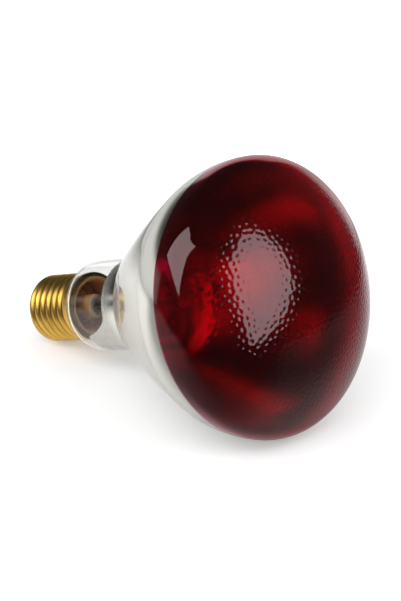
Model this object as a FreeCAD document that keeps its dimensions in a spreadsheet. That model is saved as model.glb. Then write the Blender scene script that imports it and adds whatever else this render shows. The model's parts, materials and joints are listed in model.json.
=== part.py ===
import FreeCAD, Part
import math
import os
import re
import Sketcher

# Infrared reflector lamp: a blown bulb with a ruby face and a silvered bowl, a glass mount
# with its filament inside, and a screw cap cemented on the neck. It lies on its side.
# Every piece is drawn about the lamp's own axis: depth runs from the widest plane of the
# bulb towards the cap, so the face lies at negative depth.

SIZES = (
    ("bulb_diameter", 95.0, "widest diameter of the blown bulb"),
    ("dome_height", 23.0, "face apex above the widest plane"),
    ("rim_radius", 9.2, "rounding between the face and the widest plane"),
    ("bowl_radius", 38.0, "bowl section next to the widest plane"),
    ("bowl_turn", 16.0, "depth where the bowl section flattens"),
    ("cone_radius", 400.0, "nearly straight section of the lower bowl"),
    ("shoulder_depth", 49.0, "depth where the bowl turns in to the neck"),
    ("shoulder_radius", 8.0, "rounding of that turn"),
    ("neck_fillet", 4.0, "hollow rounding from the shoulder into the neck"),
    ("neck_diameter", 34.4, "outside of the straight neck"),
    ("neck_end", 92.0, "depth of the neck's closed end"),
    ("heel_radius", 4.5, "rounding at the neck's end"),
    ("spigot_fillet", 0.5, "hollow rounding between heel and collar"),
    ("spigot_length", 12.0, "length of the collar"),
    ("glass_wall", 1.0, "blown wall"),
    ("flare_thickness", 1.0, "flared foot of the stem, sealed to the collar"),
    ("flare_round", 3.0, "slope of the foot into the stem tube"),
    ("stem_diameter", 9.2, "stem tube outside"),
    ("stem_wall", 1.2, "stem tube wall"),
    ("press_top", 62.0, "depth of the pinched end of the stem"),
    ("press_length", 11.0, "length of the pinch"),
    ("press_width", 12.0, "width of the pinch"),
    ("press_thickness", 4.0, "thickness of the pinch"),
    ("press_bulge", 0.8, "rounded edge of the pinch beyond its flat"),
    ("exhaust_diameter", 3.4, "exhaust tube outside"),
    ("exhaust_bore", 2.0, "exhaust tube inside"),
    ("exhaust_reach", 3.0, "sealed tip below the foot"),
    ("arbor_diameter", 2.4, "glass rod above the pinch"),
    ("button_depth", 42.0, "depth of the button at the end of the rod"),
    ("button_diameter", 5.0, "glass button that holds the supports"),
    ("filament_rise", 8.0, "plane of the filament above the button"),
    ("filament_ring", 22.0, "diameter of the horseshoe that the coil follows"),
    ("coil_diameter", 1.6, "outside of the coiled tungsten"),
    ("lead_diameter", 0.6, "lead-in wires"),
    ("lead_spacing", 4.8, "distance of the leads in the pinch"),
    ("lead_straight", 4.0, "straight ends of a lead at the coil and at the pinch"),
    ("lead_tail", 2.0, "lead below the stem's foot"),
    ("support_diameter", 0.5, "molybdenum supports"),
    ("support_root", 1.3, "distance of a support's inner end from the axis"),
    ("shield_drop", 4.5, "heat shield below the upper end of the pinch"),
    ("shield_gap", 1.7, "space between the heat shield and the neck"),
    ("shield_sheet", 0.4, "thickness of the heat shield"),
    ("shield_edge", 1.2, "turned edge of the heat shield"),
    ("cap_gap", 1.0, "space between glass heel and cap rim"),
    ("thread_diameter", 26.4, "crest of the rolled thread and skirt"),
    ("thread_height", 1.07, "crest of the rolled thread above its root"),
    ("thread_pitch", 3.629, "distance of the crests"),
    ("skirt_length", 3.3, "plain rim of the shell"),
    ("sheet_metal", 0.35, "shell wall"),
    ("curl_diameter", 20.4, "inner edge of the shell's rolled-in end"),
    ("curl_height", 1.6, "axial height of the rolled-in end"),
    ("insulator_depth", 3.6, "insulator inside the shell"),
    ("insulator_height", 2.2, "insulator beyond the shell"),
    ("seat_clearance", 0.1, "play of a seated piece"),
    ("contact_diameter", 11.0, "centre contact plate"),
    ("contact_thickness", 0.5, "centre contact plate"),
    ("eyelet_diameter", 3.0, "eyelet of the centre contact"),
    ("eyelet_bore", 1.6, "hole of the eyelet"),
    ("solder_diameter", 6.0, "solder dome on the centre contact"),
    ("solder_height", 0.6, "solder dome on the centre contact"),
    ("cement_length", 8.0, "basing cement between collar and shell"),
    ("cement_thickness", 0.78, "basing cement between collar and shell"),
    ("bead_width", 3.4, "solder bead at the cap's rim"),
    ("bead_height", 0.9, "solder bead at the cap's rim"),
)
THREAD_TURNS = 6
SUPPORT_ANGLES = (45.0, 90.0, 135.0)

# Places along the axis that follow from the sizes.
PLACES = (
    ("spigot_end", "=neck_end + spigot_length", "end of the glass collar"),
    ("foot_end", "=spigot_end + flare_thickness", "underside of the stem's foot"),
    ("press_end", "=press_top + press_length", "lower end of the pinch"),
    ("shield_depth", "=press_top + shield_drop", "upper face of the heat shield"),
    ("shield_radius", "=neck_diameter / 2 - glass_wall - shield_gap", "rim of the heat shield"),
    ("press_round", "=(press_bulge ^ 2 + press_thickness ^ 2 / 4) / (2 * press_bulge)", "edge of the pinch"),
    ("cap_rim", "=neck_end + cap_gap", "rim of the shell"),
    ("thread_start", "=cap_rim + skirt_length", "end of the plain rim"),
    ("thread_end", f"=thread_start + {THREAD_TURNS} * thread_pitch", "last crest"),
    ("shell_end", "=thread_end + curl_height", "end of the shell"),
    ("plug_start", "=shell_end - sheet_metal - insulator_depth", "inner end of the insulator"),
    ("contact_seat", "=shell_end + insulator_height", "insulator face under the contact"),
    ("contact_face", "=contact_seat + contact_thickness", "outer face of the contact"),
    ("filament_depth", "=button_depth - filament_rise", "plane of the filament"),
    ("root_diameter", "=thread_diameter - 2 * thread_height", "root of the rolled thread"),
    ("mid_diameter", "=thread_diameter - thread_height", "middle of the thread"),
    ("spigot_diameter", "=root_diameter - 2 * (sheet_metal + cement_thickness)", "glass collar in the cap"),
    ("thread_radius", "=(thread_pitch ^ 2 / 16 + thread_height ^ 2 / 4) / thread_height", "crest and root"),
    ("lead_collar", "=(spigot_diameter + lead_diameter) / 2 + seat_clearance", "side lead beside the collar"),
    ("lead_rim", "=cap_rim - lead_diameter / 2 - seat_clearance", "side lead under the cap's rim"),
)

X_AXIS = FreeCAD.Vector(1, 0, 0)
Z_AXIS = FreeCAD.Vector(0, 0, 1)
ORIGIN = (-1, 1)
AXIS_LINE = -2
WIDEST_LINE = -1
FULL_TURN = 360.0

doc = FreeCAD.newDocument("reflector_lamp")
sheet = doc.addObject("Spreadsheet::Sheet", "Sizes")
for row, (alias, content, meaning) in enumerate(SIZES + PLACES, start=1):
    sheet.set(f"A{row}", meaning)
    sheet.set(f"B{row}", str(content))
    sheet.setAlias(f"B{row}", alias)
doc.recompute()
ALIASES = re.compile(r"\b(" + "|".join(alias for alias, _, _ in SIZES + PLACES) + r")\b")


def value(formula):
    """Value of a formula in the words of the sheet."""
    return float(sheet.evalExpression(formula))


def cell(formula):
    """The same formula as an expression that an object outside the sheet can hold."""
    return ALIASES.sub(r"Sizes.\1", formula)


def new_body(label):
    body = doc.addObject("PartDesign::Body", label)
    body.Label = label
    return body


def new_sketch(body, name, plane="XZ_Plane", offset=None):
    """Sketch on one of the body's own origin planes, moved off it along its normal."""
    sketch = body.newObject("Sketcher::SketchObject", name)
    support = [part for part in body.Origin.OriginFeatures if part.Role == plane][0]
    sketch.AttachmentSupport = (support, [""])
    sketch.MapMode = "FlatFace"
    if offset:
        sketch.setExpression("AttachmentOffset.Base.z", cell(offset))
    return sketch


def bind(sketch, kind, elements, formula):
    """Adds one driving dimension and ties it to the sheet."""
    index = sketch.addConstraint(Sketcher.Constraint(kind, *elements, value(formula)))
    name = f"size_{index}"
    sketch.renameConstraint(index, name)
    sketch.setExpression(f"Constraints.{name}", cell(formula))


def bind_place(sketch, point, across, along):
    """Ties a point's distance across the axis and its depth to the sheet."""
    for kind, formula, line in (("DistanceX", across, AXIS_LINE), ("DistanceY", along, WIDEST_LINE)):
        if value(formula) < 0:
            bind(sketch, kind, (*point, *ORIGIN), f"-({formula})")
        elif value(formula) == 0:
            sketch.addConstraint(Sketcher.Constraint("PointOnObject", *point, line))
        else:
            bind(sketch, kind, (*ORIGIN, *point), formula)


def draw_path(sketch, corners, bulges=None, closed=True):
    """Lines through the corners; a bulge (radius, side) turns the line after its corner into an arc."""
    bulges = bulges or {}
    points = [FreeCAD.Vector(value(across), value(along), 0) for across, along in corners]
    count = len(corners) if closed else len(corners) - 1
    ends = []
    for index in range(count):
        here, there = points[index], points[(index + 1) % len(points)]
        if index in bulges:
            radius, side = bulges[index]
            geometry = sketch.addGeometry(arc_between(here, there, value(radius), side))
            bind(sketch, "Radius", (geometry,), radius)
            ends.append((geometry, 1, 2) if side > 0 else (geometry, 2, 1))
        else:
            ends.append((sketch.addGeometry(Part.LineSegment(here, there)), 1, 2))
    for index, (geometry, start, end) in enumerate(ends):
        bind_place(sketch, (geometry, start), *corners[index])
        if closed or index + 1 < count:
            follower, joint, _ = ends[(index + 1) % count]
            sketch.addConstraint(Sketcher.Constraint("Coincident", geometry, end, follower, joint))
    if not closed:
        bind_place(sketch, (ends[-1][0], ends[-1][2]), *corners[-1])
    return sketch


def arc_between(here, there, radius, side):
    """Counter-clockwise arc on two points; side 1 bulges to the right of the way there, -1 to the left."""
    chord = there - here
    sagitta = radius - math.sqrt(radius ** 2 - chord.Length ** 2 / 4)
    right = FreeCAD.Vector(chord.y, -chord.x, 0).normalize()
    middle = (here + there) / 2 + right * sagitta * side
    return Part.Arc(here, middle, there) if side > 0 else Part.Arc(there, middle, here)


def revolve(body, sketch, angle=FULL_TURN, kind="PartDesign::Revolution"):
    feature = body.newObject(kind, f"{sketch.Name}_turned")
    feature.Profile = sketch
    feature.ReferenceAxis = (sketch, ["V_Axis"])
    feature.Angle = angle
    return feature


def turned_piece(label, corners, bulges=None):
    """A piece of revolution from one closed outline of (across, depth) corners."""
    body = new_body(label)
    revolve(body, draw_path(new_sketch(body, f"{label}_outline"), corners, bulges))
    return body


def smooth_run(sketch, inset):
    """One side of the blown wall, from the face's apex to the end of the collar, as named steps.

    Each step is (geometry, first end, last end). The inset side shares the outside's centres."""
    rim, bowl, cone = value("rim_radius"), value("bowl_radius"), value("cone_radius")
    shoulder, fillet = value("shoulder_radius"), value("neck_fillet")
    heel, hollow = value("heel_radius"), value("spigot_fillet")
    wide, neck, collar = (value(f"{name}_diameter") / 2 for name in ("bulb", "neck", "spigot"))
    apex, foot, end = value("dome_height"), value("neck_end"), value("spigot_end")

    reach = wide - rim
    face = (apex ** 2 + reach ** 2 - rim ** 2) / (2 * (apex - rim))
    rim_angle = math.atan2(apex - face, reach)
    turn = math.asin(value("bowl_turn") / bowl)
    cone_centre = (wide - bowl + (bowl - cone) * math.cos(turn), (bowl - cone) * math.sin(turn))
    fall = math.asin((value("shoulder_depth") - cone_centre[1]) / cone)
    shoulder_centre = (cone_centre[0] + (cone - shoulder) * math.cos(fall),
                       cone_centre[1] + (cone - shoulder) * math.sin(fall))
    meet = math.acos((neck + fillet - shoulder_centre[0]) / (shoulder + fillet))
    fillet_centre = (neck + fillet, shoulder_centre[1] + (shoulder + fillet) * math.sin(meet))
    quarter = math.pi / 2

    steps = {}

    def arc(name, centre, radius, first, last):
        circle = Part.Circle(FreeCAD.Vector(*centre, 0), Z_AXIS, radius - inset)
        steps[name] = (sketch.addGeometry(Part.ArcOfCircle(circle, first, last)), 1, 2)

    def hollow_arc(name, centre, radius, first, last):
        circle = Part.Circle(FreeCAD.Vector(*centre, 0), Z_AXIS, radius + inset)
        steps[name] = (sketch.addGeometry(Part.ArcOfCircle(circle, first, last)), 2, 1)

    def line(name, first, last):
        ends = (FreeCAD.Vector(*first, 0), FreeCAD.Vector(*last, 0))
        steps[name] = (sketch.addGeometry(Part.LineSegment(*ends)), 1, 2)

    arc("face", (0, face - apex), face, -quarter, rim_angle)
    arc("rim", (reach, 0), rim, rim_angle, 0)
    arc("bowl", (wide - bowl, 0), bowl, 0, turn)
    arc("cone", cone_centre, cone, turn, fall)
    arc("shoulder", shoulder_centre, shoulder, fall, meet)
    hollow_arc("fillet", fillet_centre, fillet, math.pi, math.pi + meet)
    line("neck", (neck - inset, fillet_centre[1]), (neck - inset, foot - heel))
    arc("heel", (neck - heel, foot - heel), heel, 0, quarter)
    line("heel_flat", (neck - heel, foot - inset), (collar + hollow, foot - inset))
    hollow_arc("hollow", (collar + hollow, foot + hollow), hollow, math.pi, math.pi + quarter)
    line("collar", (collar - inset, foot + hollow), (collar - inset, end))

    names = list(steps)
    for name, following in zip(names, names[1:]):
        (geometry, _, last), (follower, first, _) = steps[name], steps[following]
        sketch.addConstraint(Sketcher.Constraint("Tangent", geometry, last, follower, first))
    for name, way in (("neck", "Vertical"), ("heel_flat", "Horizontal"), ("collar", "Vertical")):
        sketch.addConstraint(Sketcher.Constraint(way, steps[name][0]))
    sketch.addConstraint(Sketcher.Constraint("PointOnObject", steps["face"][0], 1, AXIS_LINE))
    return steps


def envelope_outline(sketch):
    """Section of the blown bulb: face, rim, bowl, shoulder, neck, heel and collar."""
    outside = smooth_run(sketch, 0.0)
    inside = smooth_run(sketch, value("glass_wall"))
    for name, (geometry, _, _) in outside.items():
        if name not in ("neck", "heel_flat", "collar"):
            sketch.addConstraint(Sketcher.Constraint("Coincident", geometry, 3, inside[name][0], 3))
    sketch.addConstraint(Sketcher.Constraint("PointOnObject", outside["face"][0], 3, AXIS_LINE))
    for name in ("rim", "bowl"):
        sketch.addConstraint(Sketcher.Constraint("PointOnObject", outside[name][0], 3, WIDEST_LINE))

    for name, point in (("collar", 2), ("face", 1)):
        ends = (outside[name][0], point), (inside[name][0], point)
        points = [sketch.getPoint(*end) for end in ends]
        closing = sketch.addGeometry(Part.LineSegment(*points))
        for side, end in enumerate(ends, start=1):
            sketch.addConstraint(Sketcher.Constraint("Coincident", closing, side, *end))
        if name == "collar":
            sketch.addConstraint(Sketcher.Constraint("Horizontal", closing))

    bind_place(sketch, (outside["collar"][0], 2), "spigot_diameter / 2", "spigot_end")
    bind(sketch, "DistanceY", (outside["face"][0], 1, *ORIGIN), "dome_height")
    bind(sketch, "DistanceY", (outside["face"][0], 1, inside["face"][0], 1), "glass_wall")
    bind(sketch, "DistanceX", (*ORIGIN, outside["bowl"][0], 1), "bulb_diameter / 2")
    bind(sketch, "DistanceX", (*ORIGIN, outside["neck"][0], 1), "neck_diameter / 2")
    bind(sketch, "DistanceY", (*ORIGIN, outside["cone"][0], 1), "bowl_turn")
    bind(sketch, "DistanceY", (*ORIGIN, outside["shoulder"][0], 1), "shoulder_depth")
    bind(sketch, "DistanceY", (*ORIGIN, outside["heel_flat"][0], 1), "neck_end")
    for name, size in (("rim", "rim_radius"), ("bowl", "bowl_radius"), ("cone", "cone_radius"),
                       ("shoulder", "shoulder_radius"), ("fillet", "neck_fillet"),
                       ("heel", "heel_radius"), ("hollow", "spigot_fillet")):
        bind(sketch, "Radius", (outside[name][0],), size)
    return sketch


def make_envelope():
    """Blown bulb, open at the end of its collar."""
    body = new_body("glass_envelope")
    revolve(body, envelope_outline(new_sketch(body, "bulb_section")))
    return body


def make_stem_blank():
    """Flared tube with its pinch, exhaust tube, rod and button, all fused into one glass piece."""
    body = new_body("stem_blank")
    tube, bore = "stem_diameter / 2", "stem_diameter / 2 - stem_wall"
    foot = new_sketch(body, "stem_tube")
    draw_path(foot, (
        ("spigot_diameter / 2", "foot_end"),
        ("spigot_diameter / 2", "spigot_end"),
        (f"{tube} + flare_round", "spigot_end"),
        (tube, "spigot_end - flare_round"),
        (tube, "press_top + press_length / 2"),
        ("0", "press_top + press_length / 2"),
        ("0", "press_end"),
        (bore, "press_end"),
        (bore, "spigot_end - flare_round"),
        (f"{bore} + flare_round", "foot_end"),
    ), {2: ("flare_round", -1)})
    revolve(body, foot)

    pinch = new_sketch(body, "pinch", "XY_Plane", "press_top")
    flat, edge = "press_width / 2 - press_bulge", "press_thickness / 2"
    draw_path(pinch, ((flat, f"-{edge}"), (flat, edge), (f"-({flat})", edge), (f"-({flat})", f"-{edge}")),
              {0: ("press_round", 1), 2: ("press_round", 1)})
    press = body.newObject("PartDesign::Pad", "press")
    press.Profile = pinch
    press.setExpression("Length", cell("press_length"))

    rod = new_sketch(body, "rod")
    draw_path(rod, (
        ("arbor_diameter / 2", "press_top + press_length / 2"),
        ("arbor_diameter / 2", "button_depth"),
        ("0", "button_depth"),
        ("0", "press_top + press_length / 2"),
    ))
    revolve(body, rod)
    button = new_sketch(body, "button")
    draw_path(button, (
        ("0", "button_depth - button_diameter / 2"),
        ("button_diameter / 2", "button_depth"),
        ("0", "button_depth + button_diameter / 2"),
    ), {0: ("button_diameter / 2", 1), 1: ("button_diameter / 2", 1)})
    revolve(body, button)

    exhaust = new_sketch(body, "exhaust")
    draw_path(exhaust, (
        ("exhaust_diameter / 2", "press_end - exhaust_diameter / 2"),
        ("exhaust_diameter / 2", "foot_end + exhaust_reach"),
        ("0", "foot_end + exhaust_reach + exhaust_diameter / 2"),
        ("0", "foot_end + exhaust_reach"),
        ("exhaust_bore / 2", "foot_end + exhaust_reach - exhaust_bore / 2"),
        ("exhaust_bore / 2", "press_end - exhaust_diameter / 2"),
    ), {1: ("exhaust_diameter / 2", 1)})
    body.Tip = revolve(body, exhaust)
    return body


def make_shield_blank():
    """Sheet disc with a turned edge that keeps the heat of the filament off the cap."""
    return turned_piece("shield_blank", (
        ("0", "shield_depth"),
        ("shield_radius", "shield_depth"),
        ("shield_radius", "shield_depth + shield_edge"),
        ("shield_radius - shield_sheet", "shield_depth + shield_edge"),
        ("shield_radius - shield_sheet", "shield_depth + shield_sheet"),
        ("0", "shield_depth + shield_sheet"),
    ))


def make_wire(label, corners, diameter, plane, offset, start):
    """A round wire along straight runs; start is the (across, along) place of its end section."""
    body = new_body(label)
    route = draw_path(new_sketch(body, f"{label}_route"), corners, closed=False)
    section = new_sketch(body, f"{label}_section", plane, offset)
    circle = Part.Circle(FreeCAD.Vector(value(start[0]), value(start[1]), 0), Z_AXIS,
                         value(diameter) / 2)
    ring = section.addGeometry(circle)
    bind(section, "Diameter", (ring,), diameter)
    bind_place(section, (ring, 3), *start)
    pipe = body.newObject("PartDesign::AdditivePipe", f"{label}_wire")
    pipe.Profile = section
    pipe.Spine = (route, [f"Edge{index}" for index in range(1, len(corners))])
    pipe.Transition = "Right corner"
    return body


def lead_route(side):
    """Upper run of a lead: from the coil's end through the pinch to below the stem's foot."""
    ring, spaced = f"{side} * filament_ring / 2", f"{side} * lead_spacing / 2"
    return (
        (ring, "filament_depth + coil_diameter / 2"),
        (ring, "filament_depth + coil_diameter / 2 + lead_straight"),
        (spaced, "press_top - lead_straight"),
    )


def make_leads():
    """Lead to the centre contact and lead to the shell's rim."""
    top = "filament_depth + coil_diameter / 2"
    centre = lead_route(1) + (
        ("lead_spacing / 2", "foot_end + exhaust_reach + lead_tail"),
        ("0", "plug_start"),
        ("0", "contact_face"),
    )
    rim = lead_route(-1) + (
        ("-lead_spacing / 2", "foot_end + lead_tail"),
        ("-lead_collar", "foot_end + lead_tail"),
        ("-lead_collar", "lead_rim"),
        ("-thread_diameter / 2", "lead_rim"),
    )
    ring = "filament_ring / 2"
    return (make_wire("centre_lead", centre, "lead_diameter", "XY_Plane", top, (ring, "0")),
            make_wire("rim_lead", rim, "lead_diameter", "XY_Plane", top, (f"-{ring}", "0")))


def make_supports():
    """Wires planted in the button, each with a crook under the coil."""
    under = "filament_depth + coil_diameter / 2 + support_diameter / 2 + seat_clearance"
    corners = (
        ("support_root", "button_depth"),
        ("filament_ring / 4", "button_depth"),
        ("filament_ring / 2 - coil_diameter", under),
        ("filament_ring / 2 + coil_diameter / 2", under),
    )
    wires = []
    for number, angle in enumerate(SUPPORT_ANGLES, start=1):
        wire = make_wire(f"support_wire_{number}", corners, "support_diameter", "YZ_Plane", "support_root",
                         ("0", "button_depth"))
        wires.append((wire, angle))
    return wires


def make_filament():
    """Coiled tungsten as a half ring of the coil's own thickness."""
    body = new_body("filament")
    section = new_sketch(body, "coil_section")
    place = FreeCAD.Vector(value("filament_ring / 2"), value("filament_depth"), 0)
    ring = section.addGeometry(Part.Circle(place, Z_AXIS, value("coil_diameter") / 2))
    bind(section, "Diameter", (ring,), "coil_diameter")
    bind_place(section, (ring, 3), "filament_ring / 2", "filament_depth")
    revolve(body, section, FULL_TURN / 2)
    return body


def make_shell():
    """Thin brass shell: plain rim, rolled thread as rounded rings, rolled-in end."""
    outer = [("thread_diameter / 2", "cap_rim"), ("thread_diameter / 2", "thread_start")]
    bulges = {}
    inner = [("thread_diameter / 2 - sheet_metal", "cap_rim"),
             ("thread_diameter / 2 - sheet_metal", "thread_start")]
    for turn in range(THREAD_TURNS):
        root = f"thread_start + {turn + 0.5} * thread_pitch"
        crest = f"thread_start + {turn + 1} * thread_pitch"
        outer.append(("mid_diameter / 2", f"{root} - thread_pitch / 4"))
        bulges[len(outer) - 1] = ("thread_radius", -1)
        outer.append(("mid_diameter / 2", f"{root} + thread_pitch / 4"))
        inner.append(("root_diameter / 2 - sheet_metal", root))
        if turn + 1 < THREAD_TURNS:
            bulges[len(outer) - 1] = ("thread_radius", 1)
        inner.append(("thread_diameter / 2 - sheet_metal", crest))
    outer.append(("thread_diameter / 2", "thread_end"))
    outer.append(("curl_diameter / 2 + curl_height", "shell_end"))
    outer.append(("curl_diameter / 2", "shell_end"))
    inner.append(("curl_diameter / 2 + curl_height", "shell_end - sheet_metal"))
    inner.append(("curl_diameter / 2", "shell_end - sheet_metal"))
    return turned_piece("screw_shell", outer + inner[::-1], bulges)


def make_insulator():
    """Black glass plug with a conical nose and a hole for the contact's eyelet."""
    bore = "eyelet_diameter / 2 + seat_clearance"
    return turned_piece("insulator", (
        (bore, "plug_start"),
        ("root_diameter / 2 - sheet_metal - seat_clearance", "plug_start"),
        ("root_diameter / 2 - sheet_metal - seat_clearance", "thread_end - thread_pitch / 2"),
        ("curl_diameter / 2 + curl_height", "shell_end - sheet_metal"),
        ("curl_diameter / 2", "shell_end - sheet_metal"),
        ("curl_diameter / 2", "shell_end"),
        ("contact_diameter / 2 + contact_thickness", "contact_seat"),
        (bore, "contact_seat"),
    ))


def make_contact():
    """Centre contact plate with a tubular eyelet through the insulator."""
    hole = "eyelet_bore / 2"
    return turned_piece("centre_contact", (
        (hole, "plug_start"),
        ("eyelet_diameter / 2", "plug_start"),
        ("eyelet_diameter / 2", "contact_seat"),
        ("contact_diameter / 2", "contact_seat"),
        ("contact_diameter / 2", "contact_face"),
        (hole, "contact_face"),
    ))


def make_contact_solder():
    """Low solder dome over the eyelet and the end of the centre lead."""
    radius = "(solder_height ^ 2 + solder_diameter ^ 2 / 4) / (2 * solder_height)"
    return turned_piece("contact_solder", (
        ("0", "contact_face"),
        ("solder_diameter / 2", "contact_face"),
        ("0", "contact_face + solder_height"),
    ), {1: (radius, 1)})


def make_cement_blank():
    """Ring of basing cement between the glass collar and the shell."""
    return turned_piece("cement_blank", (
        ("spigot_diameter / 2", "spigot_end - cement_length"),
        ("root_diameter / 2 - sheet_metal", "spigot_end - cement_length"),
        ("root_diameter / 2 - sheet_metal", "spigot_end"),
        ("spigot_diameter / 2", "spigot_end"),
    ))


def make_rim_bead_blank():
    """Drop of solder on the plain rim, over the end of the rim lead."""
    bead = doc.addObject("Part::Ellipsoid", "bead_blank")
    bead.setExpression("Radius1", cell("bead_height"))
    bead.setExpression("Radius2", cell("bead_width / 2"))
    bead.setExpression("Radius3", cell("bead_width / 2"))
    return bead


def make_rim_plug():
    """The space that the shell's rim takes out of the solder drop."""
    plug = doc.addObject("Part::Cylinder", "rim_plug")
    plug.setExpression("Radius", cell("thread_diameter / 2"))
    plug.setExpression("Height", cell("skirt_length + cap_gap"))
    return plug


def cut(label, base, tools):
    """A piece with the seats of other pieces taken out of it."""
    piece = doc.addObject("Part::Cut", label)
    piece.Label = label
    piece.Base = base
    piece.Tool = tools[0]
    if len(tools) > 1:
        piece.Tool = doc.addObject("Part::MultiFuse", f"{label}_seats")
        piece.Tool.Shapes = tools
    return piece


def rest_tilt():
    """Tilt of the axis when the bowl and the last crest of the thread both touch the ground."""
    bowl = FreeCAD.Vector(value("bulb_diameter") / 2 - value("bowl_radius"), 0, 0)
    tip = FreeCAD.Vector(value("thread_diameter") / 2, value("thread_end"), 0)
    apart = bowl - tip
    lean = math.asin(value("bowl_radius") / apart.Length)
    return lean + math.atan2(apart.x, -apart.y)


def place_lamp(tilt):
    """Lays the lamp down: face towards +X, ground at z = 0, box centred over the origin."""
    towards_cap = FreeCAD.Vector(-math.cos(tilt), 0, -math.sin(tilt))
    upright = FreeCAD.Vector(-math.sin(tilt), 0, math.cos(tilt))
    turn = FreeCAD.Rotation(-FreeCAD.Vector(0, 1, 0), upright, towards_cap, "ZXY")
    lying = FreeCAD.Placement(FreeCAD.Vector(), turn)
    outside = Part.Compound([envelope.Shape, shell.Shape, contact.Shape, contact_solder.Shape])
    box = outside.transformGeometry(lying.toMatrix()).optimalBoundingBox(False)
    middle = FreeCAD.Vector(box.Center.x, box.Center.y, box.ZMin)
    return FreeCAD.Placement(-middle, turn)


envelope = make_envelope()
stem_blank = make_stem_blank()
shield_blank = make_shield_blank()
centre_lead, rim_lead = make_leads()
supports = make_supports()
filament = make_filament()
shell = make_shell()
insulator = make_insulator()
contact = make_contact()
contact_solder = make_contact_solder()
cement_blank = make_cement_blank()
bead_blank = make_rim_bead_blank()
rim_plug = make_rim_plug()
doc.recompute()

lamp = place_lamp(rest_tilt())
for body in (envelope, stem_blank, shield_blank, centre_lead, rim_lead, filament, shell, insulator, contact,
             contact_solder, cement_blank):
    body.Placement = lamp
for wire, angle in supports:
    wire.Placement = lamp * FreeCAD.Placement(FreeCAD.Vector(), FreeCAD.Rotation(Z_AXIS, angle))
on_rim = FreeCAD.Vector(-value("thread_diameter / 2"), 0, value("cap_rim + skirt_length / 2 - cap_gap / 2"))
bead_blank.Placement = lamp * FreeCAD.Placement(on_rim, FreeCAD.Rotation(Z_AXIS, X_AXIS))
before_rim = FreeCAD.Vector(0, 0, value("cap_rim - cap_gap"))
rim_plug.Placement = lamp * FreeCAD.Placement(before_rim, FreeCAD.Rotation())

stem = cut("glass_stem", stem_blank, [centre_lead, rim_lead] + [wire for wire, _ in supports])
shield = cut("heat_shield", shield_blank, [stem_blank])
cement = cut("basing_cement", cement_blank, [rim_lead])
rim_solder = cut("rim_solder", bead_blank, [rim_plug, rim_lead])
doc.recompute()

pieces = [envelope, stem, shield, centre_lead, rim_lead, filament, shell, insulator, contact, contact_solder,
          cement, rim_solder] + [wire for wire, _ in supports]
for item in doc.Objects:
    if {"Invalid", "Error"} & set(item.State):
        raise RuntimeError(f"{item.Label} did not build: {item.State}")
for piece in pieces:
    if piece.Shape.isNull() or not piece.Shape.isValid() or not piece.Shape.Solids:
        raise RuntimeError(f"{piece.Label} has no valid solid")

os.makedirs("parts", exist_ok=True)
for piece in pieces:
    piece.Shape.exportStep(f"parts/{piece.Label}.step")
    print(piece.Label, len(piece.Shape.Solids), "solids", round(piece.Shape.Volume, 2), "mm3")
print("tilt", round(math.degrees(rest_tilt()), 3))
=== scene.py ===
"""Looks of an infrared reflector lamp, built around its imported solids."""

import json
import math

import bmesh
import bpy
from bpy.props import FloatProperty, FloatVectorProperty, IntProperty, PointerProperty
from mathutils import Euler, Matrix, Vector


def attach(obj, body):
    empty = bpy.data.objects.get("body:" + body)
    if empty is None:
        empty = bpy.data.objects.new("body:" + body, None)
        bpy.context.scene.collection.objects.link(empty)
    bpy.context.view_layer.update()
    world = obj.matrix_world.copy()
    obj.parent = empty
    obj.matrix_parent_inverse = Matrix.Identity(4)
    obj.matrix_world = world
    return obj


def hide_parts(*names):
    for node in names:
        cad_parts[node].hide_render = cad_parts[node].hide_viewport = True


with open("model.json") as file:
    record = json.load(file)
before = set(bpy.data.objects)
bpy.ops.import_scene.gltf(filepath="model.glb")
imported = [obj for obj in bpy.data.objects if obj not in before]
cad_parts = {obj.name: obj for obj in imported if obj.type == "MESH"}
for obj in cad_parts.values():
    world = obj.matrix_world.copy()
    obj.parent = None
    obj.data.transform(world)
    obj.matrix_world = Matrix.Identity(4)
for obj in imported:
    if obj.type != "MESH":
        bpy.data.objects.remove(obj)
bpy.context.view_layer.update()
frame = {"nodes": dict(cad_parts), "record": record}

bl_info = {
    "name": "Infrared reflector lamp",
    "version": (1, 0, 0),
    "blender": (4, 5, 0),
    "location": "View3D > Sidebar > Lamp",
    "description": "Dresses the packed solids of a reflector lamp and sets up its studio",
    "category": "Object",
}

MM = 0.001
FULL_TURN = 2 * math.pi
BODY = "root"
WHITE = (1.0, 1.0, 1.0)

# Fineness of the meshes
OUTER_SEGMENTS = 240
OUTER_BAND_RINGS = 6
INNER_SEGMENTS = 120
INNER_FACE_RINGS = 24
APEX_SEGMENTS = 6
SHELL_SEGMENTS = 180
SHELL_ROWS_A_TURN = 18
COIL_STEPS_A_TURN = 14
WIRE_SIDES = 6
FLOOR_SEGMENTS = 128

# Steps along the runs of the bulb's section
RIM_STEPS = 18
STAIN_STEPS = 4
BOWL_STEPS = 10
CONE_STEPS = 12
SHOULDER_STEPS = 10
FILLET_STEPS = 8
NECK_STEPS = 3
HEEL_STEPS = 10
BASE_STEPS = 1
HOLLOW_STEPS = 5
COLLAR_STEPS = 3

# Steps along the runs of the shell's section
SKIRT_STEPS = 4
CURL_STEPS = 5
LIP_STEPS = 2

# Dimples tried on each square of their pitch, before those that lie too close are dropped
DIMPLE_CROWD = 4.0

# Turns over which the thread begins and ends
FADE_IN_TURNS = 0.35
FADE_OUT_TURNS = 0.5

# Turn about the axis in which the coat's tongue grows
TONGUE_TURN = math.radians(31.0)

# Refraction of the stained and of the clear glass
RUBY_IOR = 1.5
CLEAR_IOR = 1.3

# Roughness of the stained glass, outside and on its frosted inside
RUBY_ROUGH = 0.015
FROSTED_ROUGH = 0.14

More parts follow.
